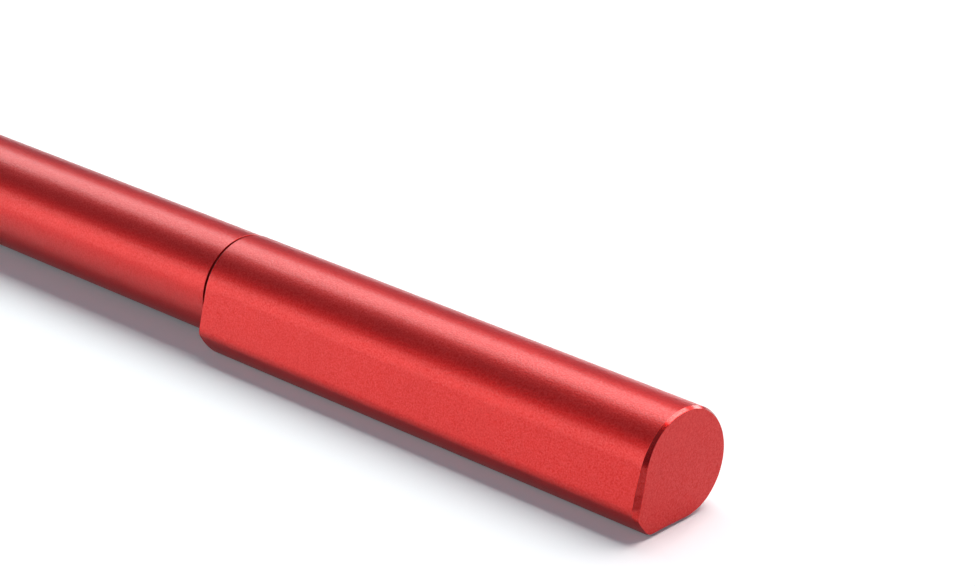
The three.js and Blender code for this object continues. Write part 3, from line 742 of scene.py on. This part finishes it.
def range_of(nodes, links, factor, low, high):
    """The middle stretch of a noise spread over low to high."""
    spread = nodes.new("ShaderNodeMapRange")
    spread.inputs["From Min"].default_value = NOISE_LOW
    spread.inputs["From Max"].default_value = NOISE_HIGH
    spread.inputs["To Min"].default_value = low
    spread.inputs["To Max"].default_value = high
    links.new(factor, spread.inputs["Value"])
    return spread.outputs["Result"]


def mixed(nodes, links, factor, low, high):
    """One number's way from low to high by a factor. Low may be a socket."""
    mix = nodes.new("ShaderNodeMix")
    links.new(factor, mix.inputs["Factor"])
    if isinstance(low, float):
        mix.inputs["A"].default_value = low
    else:
        links.new(low, mix.inputs["A"])
    mix.inputs["B"].default_value = high
    return mix.outputs["Result"]


def cut_faces(nodes, links):
    """1 on the chamfer at the cap's rear end, which is cut after the blasting, and 0 elsewhere.

    The chamfer is what turns partly towards the rear end, within its last millimetre.
    """
    place = nodes.new("ShaderNodeTexCoord")
    split = nodes.new("ShaderNodeSeparateXYZ")
    links.new(place.outputs["Normal"], split.inputs["Vector"])
    near = nodes.new("ShaderNodeMath")
    near.operation = "COMPARE"
    near.inputs[1].default_value = CHAMFER_TILT
    near.inputs[2].default_value = CHAMFER_TILT_RANGE
    links.new(split.outputs["X"], near.inputs[0])
    where = nodes.new("ShaderNodeSeparateXYZ")
    links.new(place.outputs["Object"], where.inputs["Vector"])
    at_rear = nodes.new("ShaderNodeMath")
    at_rear.operation = "GREATER_THAN"
    at_rear.inputs[1].default_value = CAP_REAR_X - CHAMFER_REACH
    links.new(where.outputs["X"], at_rear.inputs[0])
    both = nodes.new("ShaderNodeMath")
    both.operation = "MULTIPLY"
    links.new(near.outputs[0], both.inputs[0])
    links.new(at_rear.outputs[0], both.inputs[1])
    return both.outputs[0]


def anodised_metal(colour):
    """Bead-blasted and anodised aluminium: dyed metal under a soft clear skin, with the blast's fine grain.

    The chamfer at the rear end is glossier and smoother.
    """
    finish, nodes, links, shader = new_finish("anodised_red_blasted", colour, 1.0, 0.45)
    grain = noise_of(nodes, links, GRAIN_SCALE)
    dark = tuple(c * 0.935 - 0.01 for c in colour)
    light = tuple(c * 1.065 + 0.012 for c in colour)
    links.new(colour_between(nodes, links, grain.outputs["Fac"], dark, light), shader.inputs["Base Color"])
    cloud = noise_of(nodes, links, 260, 3.0, (0.5, 1, 1))
    cut = cut_faces(nodes, links)
    blasted = range_of(nodes, links, cloud.outputs["Fac"], *BLASTED_ROUGHNESS)
    links.new(mixed(nodes, links, cut, blasted, CUT_ROUGHNESS), shader.inputs["Roughness"])
    links.new(mixed(nodes, links, cut, SKIN_ROUGHNESS, CUT_SKIN_ROUGHNESS), shader.inputs["Coat Roughness"])
    links.new(range_of(nodes, links, grain.outputs["Fac"], *SKIN_WEIGHT), shader.inputs["Coat Weight"])
    bump = bump_from(nodes, links, shader, grain.outputs["Fac"], 1.0, GRAIN_DEPTH)
    links.new(mixed(nodes, links, cut, 1.0, CUT_GRAIN), bump.inputs["Strength"])
    shader.inputs["Coat IOR"].default_value = SKIN_IOR
    return finish


def turned_metal(name, colour, roughness):
    """Metal off the lathe: fine rings across the pen's axis, and faint cloudy staining."""
    finish, nodes, links, shader = new_finish(name, colour, 1.0, roughness)
    rings = noise_of(nodes, links, 2200, 2.0, (1, 0.02, 0.02))
    stain = noise_of(nodes, links, 400, 3.0)
    dark = tuple(c * 0.82 for c in colour)
    links.new(colour_between(nodes, links, stain.outputs["Fac"], dark, colour), shader.inputs["Base Color"])
    spread = range_of(nodes, links, rings.outputs["Fac"], roughness * 0.75, roughness * 1.3)
    links.new(spread, shader.inputs["Roughness"])
    bump_from(nodes, links, shader, rings.outputs["Fac"], 0.25, 0.01 * MM)
    return finish


def polished_metal(name, colour, roughness):
    """Bright metal with hairlines along the pen and a few fine scuffs in its gloss."""
    finish, nodes, links, shader = new_finish(name, colour, 1.0, roughness)
    hair = noise_of(nodes, links, 14000, 2.0, (0.02, 1, 1))
    spread = range_of(nodes, links, hair.outputs["Fac"], roughness * 0.6, roughness * 1.6)
    links.new(spread, shader.inputs["Roughness"])
    light = tuple(min(c * 1.08, 1) for c in colour)
    links.new(colour_between(nodes, links, hair.outputs["Fac"], colour, light), shader.inputs["Base Color"])
    bump_from(nodes, links, shader, hair.outputs["Fac"], 0.05, 0.001 * MM)
    return finish


def moulded_black(name, colour, roughness):
    """Black polymer or rubber: an even moulded skin with a fine matt grain and dusty lighter patches."""
    finish, nodes, links, shader = new_finish(name, colour, 0.0, roughness)
    grain = noise_of(nodes, links, 4200)
    dust = noise_of(nodes, links, 500, 4.0)
    light = tuple(c * 1.5 + 0.01 for c in colour)
    links.new(colour_between(nodes, links, dust.outputs["Fac"], colour, light), shader.inputs["Base Color"])
    spread = range_of(nodes, links, grain.outputs["Fac"], roughness * 0.85, roughness * 1.1)
    links.new(spread, shader.inputs["Roughness"])
    bump_from(nodes, links, shader, grain.outputs["Fac"], 0.3, 0.01 * MM)
    return finish


def finish_named(name):
    """A finish by its name, made on first use from the scene's colours."""
    if name in bpy.data.materials:
        return bpy.data.materials[name]
    colours = bpy.context.scene.pen_colours
    makers = {
        "anodised_red_blasted": lambda: anodised_metal(tuple(colours.anodised)),
        "brass_turned": lambda: turned_metal("brass_turned", tuple(colours.brass), 0.24),
        "steel_drawn": lambda: polished_metal("steel_drawn", tuple(colours.steel), 0.22),
        "spring_wire": lambda: polished_metal("spring_wire", (0.5, 0.51, 0.53), 0.16),
        "chrome_polished": lambda: polished_metal("chrome_polished", (0.8, 0.8, 0.82), 0.05),
        "ball_ground": lambda: polished_metal("ball_ground", (0.34, 0.29, 0.37), 0.18),
        "polymer_black": lambda: moulded_black("polymer_black", (0.018, 0.018, 0.02), 0.5),
        "rubber_black": lambda: moulded_black("rubber_black", (0.012, 0.012, 0.012), 0.75),
    }
    return makers[name]()


# The finishes of the pieces inside the cap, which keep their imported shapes
INNER_FINISHES = {
    "cam_sleeve": "brass_turned",
    "guide_tube": "brass_turned",
    "mouth_bearing": "polymer_black",
    "wave_washer": "spring_wire",
    "clip_ring": "spring_wire",
    "plunger": "polymer_black",
    "cross_pin": "steel_drawn",
    "plunger_pad": "rubber_black",
    "refill_plug": "polymer_black",
}


# Stage


def add_lamp(name, power, size, place, aim, colour):
    """An area lamp of width by height, facing its aim, with its width as near to the pen's axis as can be."""
    data = bpy.data.lights.new(name, "AREA")
    data.shape = "RECTANGLE"
    data.size, data.size_y = size
    data.energy = power
    data.color = colour
    lamp = bpy.data.objects.new(name, data)
    bpy.context.scene.collection.objects.link(lamp)
    away = (Vector(place) - Vector(aim)).normalized()
    across = (Vector((1, 0, 0)) - away.x * away).normalized()
    turn = Matrix((across, away.cross(across), away)).transposed().to_4x4()
    lamp.matrix_world = Matrix.Translation(place) @ turn


def background_share(nodes, links, in_gloss):
    """How much of the white background a ray meets: all from the camera or through glass, less in gloss."""
    path = nodes.new("ShaderNodeLightPath")
    straight = nodes.new("ShaderNodeMath")
    links.new(path.outputs["Is Camera Ray"], straight.inputs[0])
    links.new(path.outputs["Is Transmission Ray"], straight.inputs[1])
    share = nodes.new("ShaderNodeMath")
    share.operation = "MULTIPLY_ADD"
    share.inputs[1].default_value = in_gloss
    links.new(path.outputs["Is Glossy Ray"], share.inputs[0])
    links.new(straight.outputs[0], share.inputs[2])
    return share.outputs[0]


def white_floor(colour):
    """A white surface that keeps shadows.

    Its colour is dimmer for all rays but the camera's, so that it throws less light back on the pen. For the
    camera, and faintly in gloss, it has a little glow of its own. By the pen the glow is weak and bluish,
    against the red light that the pen throws on the surface. Further off it grows to plain white.
    """
    finish = bpy.data.materials.new("white_floor")
    finish.use_nodes = True
    nodes, links = finish.node_tree.nodes, finish.node_tree.links
    nodes.clear()
    out = nodes.new("ShaderNodeOutputMaterial")
    diffuse = nodes.new("ShaderNodeBsdfDiffuse")
    path = nodes.new("ShaderNodeLightPath")
    dimmed = nodes.new("ShaderNodeMix")
    dimmed.data_type = "RGBA"
    dimmed.inputs["A"].default_value = (*(c * FLOOR_DIMMED for c in colour), 1)
    dimmed.inputs["B"].default_value = (*colour, 1)
    links.new(path.outputs["Is Camera Ray"], dimmed.inputs["Factor"])
    links.new(dimmed.outputs["Result"], diffuse.inputs["Color"])
    place = nodes.new("ShaderNodeTexCoord")
    distance = nodes.new("ShaderNodeVectorMath")
    distance.operation = "LENGTH"
    links.new(place.outputs["Object"], distance.inputs[0])
    glow = nodes.new("ShaderNodeEmission")
    shade = colour_between(nodes, links, distance.outputs["Value"], NEAR_GLOW, (1, 1, 1), *GLOW_REACH)
    links.new(shade, glow.inputs["Color"])
    links.new(background_share(nodes, links, GLOW_IN_GLOSS), glow.inputs["Strength"])
    both = nodes.new("ShaderNodeAddShader")
    links.new(diffuse.outputs[0], both.inputs[0])
    links.new(glow.outputs[0], both.inputs[1])
    links.new(both.outputs[0], out.inputs["Surface"])
    return finish


def make_floor(colour):
    """The surface under the pen: one wide square."""
    half = FLOOR_HALF_WIDTH
    points = [(-half, -half, 0), (half, -half, 0), (half, half, 0), (-half, half, 0)]
    mesh = bpy.data.meshes.new("floor")
    mesh.from_pydata(points, [], [(0, 1, 2, 3)])
    mesh.materials.append(white_floor(colour))
    floor = bpy.data.objects.new("floor", mesh)
    bpy.context.scene.collection.objects.link(floor)


def make_world():
    """A dim, soft studio all round, which the camera sees as plain white, and gloss as a little white."""
    world = bpy.data.worlds.new("studio")
    bpy.context.scene.world = world
    world.use_nodes = True
    nodes, links = world.node_tree.nodes, world.node_tree.links
    background = nodes["Background"]
    place = nodes.new("ShaderNodeTexCoord")
    split = nodes.new("ShaderNodeSeparateXYZ")
    links.new(place.outputs["Generated"], split.inputs["Vector"])
    shade = colour_between(nodes, links, split.outputs["Z"], STUDIO_LOW, STUDIO_HIGH, *STUDIO_HEIGHTS)
    backdrop = nodes.new("ShaderNodeMix")
    backdrop.data_type = "RGBA"
    links.new(background_share(nodes, links, BACKDROP_IN_GLOSS), backdrop.inputs["Factor"])
    links.new(shade, backdrop.inputs["A"])
    backdrop.inputs["B"].default_value = (1, 1, 1, 1)
    links.new(backdrop.outputs["Result"], background.inputs["Color"])


def make_camera():
    """The photograph's camera: aimed from the cap's rear end, at its angles, and rolled a little."""
    azimuth, elevation = CAMERA_AZIMUTH, CAMERA_ELEVATION
    level = math.cos(elevation)
    back = np.array([math.sin(azimuth) * level, -math.cos(azimuth) * level, math.sin(elevation)])
    aim = np.array([CAP_REAR_X, AXIS_Y, 0]) + np.array(CAMERA_AIM_FROM_REAR)
    right = np.cross([0, 0, 1], back)
    right /= np.linalg.norm(right)
    up = np.cross(back, right)
    turned_right = math.cos(CAMERA_ROLL) * right + math.sin(CAMERA_ROLL) * up
    turned_up = math.cos(CAMERA_ROLL) * up - math.sin(CAMERA_ROLL) * right
    place = np.eye(4)
    place[:3, 0], place[:3, 1], place[:3, 2] = turned_right, turned_up, back
    place[:3, 3] = aim + back * CAMERA_DISTANCE
    data = bpy.data.cameras.new("camera")
    data.lens = CAMERA_LENS
    data.sensor_width = CAMERA_SENSOR
    data.clip_start, data.clip_end = 0.01, 10
    camera = bpy.data.objects.new("camera", data)
    bpy.context.scene.collection.objects.link(camera)
    camera.matrix_world = Matrix(place.tolist())
    bpy.context.scene.camera = camera


# Operators


class PEN_OT_make_barrel(bpy.types.Operator):
    """Make the barrel and its threaded insert"""

    bl_idname = "pen.make_barrel"
    bl_label = "Barrel"

    def execute(self, context):
        make_front_barrel(context.scene.pen_sizes, finish_named("anodised_red_blasted"))
        make_thread_insert(context.scene.pen_sizes, finish_named("brass_turned"))
        return {"FINISHED"}


class PEN_OT_make_cap(bpy.types.Operator):
    """Make the teardrop cap"""

    bl_idname = "pen.make_cap"
    bl_label = "Cap"

    def execute(self, context):
        make_cap(context.scene.pen_sizes, finish_named("anodised_red_blasted"))
        return {"FINISHED"}


class PEN_OT_make_refill(bpy.types.Operator):
    """Make the refill, its writing ball and the return spring"""

    bl_idname = "pen.make_refill"
    bl_label = "Refill"

    def execute(self, context):
        make_tip(finish_named("chrome_polished"), finish_named("ball_ground"))
        make_ink_tube(finish_named("steel_drawn"))
        make_return_spring(context.scene.pen_sizes, finish_named("spring_wire"))
        return {"FINISHED"}


class PEN_OT_make_twist_unit(bpy.types.Operator):
    """Make the twist unit's visible pieces and finish the ones inside the cap"""

    bl_idname = "pen.make_twist_unit"
    bl_label = "Twist unit"

    def execute(self, context):
        make_coupling_bush(context.scene.pen_sizes, finish_named("brass_turned"))
        make_rubber_pieces(finish_named("rubber_black"))
        for node, finish in INNER_FINISHES.items():
            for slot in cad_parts[node].material_slots:
                slot.material = finish_named(finish)
        return {"FINISHED"}


class PEN_OT_make_stage(bpy.types.Operator):
    """Make the floor, the lamps and the camera"""

    bl_idname = "pen.make_stage"
    bl_label = "Stage"

    def execute(self, context):
        settings = context.scene.pen_stage
        make_floor(tuple(settings.floor_colour))
        make_world()
        for name, power, size, place, aim, colour in LAMPS:
            add_lamp(name, getattr(settings, power), size, place, aim, colour)
        make_camera()
        context.scene.view_settings.view_transform = "Standard"
        return {"FINISHED"}


class PEN_PT_sidebar(bpy.types.Panel):
    """Lists the pen's operators in the sidebar"""

    bl_label = "Twist Pen"
    bl_idname = "PEN_PT_sidebar"
    bl_space_type = "VIEW_3D"
    bl_region_type = "UI"
    bl_category = "Pen"

    def draw(self, context):
        for operator in OPERATORS:
            self.layout.operator(operator.bl_idname)
        for group in (context.scene.pen_sizes, context.scene.pen_colours, context.scene.pen_stage):
            for name in group.__annotations__:
                self.layout.prop(group, name)


OPERATORS = (
    PEN_OT_make_barrel,
    PEN_OT_make_cap,
    PEN_OT_make_refill,
    PEN_OT_make_twist_unit,
    PEN_OT_make_stage,
)
CLASSES = (PenSizes, PenColours, StageSettings, *OPERATORS, PEN_PT_sidebar)


def register():
    """Adds the classes and the settings on the scene."""
    for cls in CLASSES:
        bpy.utils.register_class(cls)
    bpy.types.Scene.pen_sizes = PointerProperty(type=PenSizes)
    bpy.types.Scene.pen_colours = PointerProperty(type=PenColours)
    bpy.types.Scene.pen_stage = PointerProperty(type=StageSettings)


def unregister():
    """Removes them again."""
    del bpy.types.Scene.pen_stage
    del bpy.types.Scene.pen_colours
    del bpy.types.Scene.pen_sizes
    for cls in reversed(CLASSES):
        bpy.utils.unregister_class(cls)


def main():
    """Makes the whole pen."""
    register()
    bpy.ops.pen.make_barrel()
    bpy.ops.pen.make_cap()
    bpy.ops.pen.make_refill()
    bpy.ops.pen.make_twist_unit()
    bpy.ops.pen.make_stage()


if __name__ == "__main__":
    main()
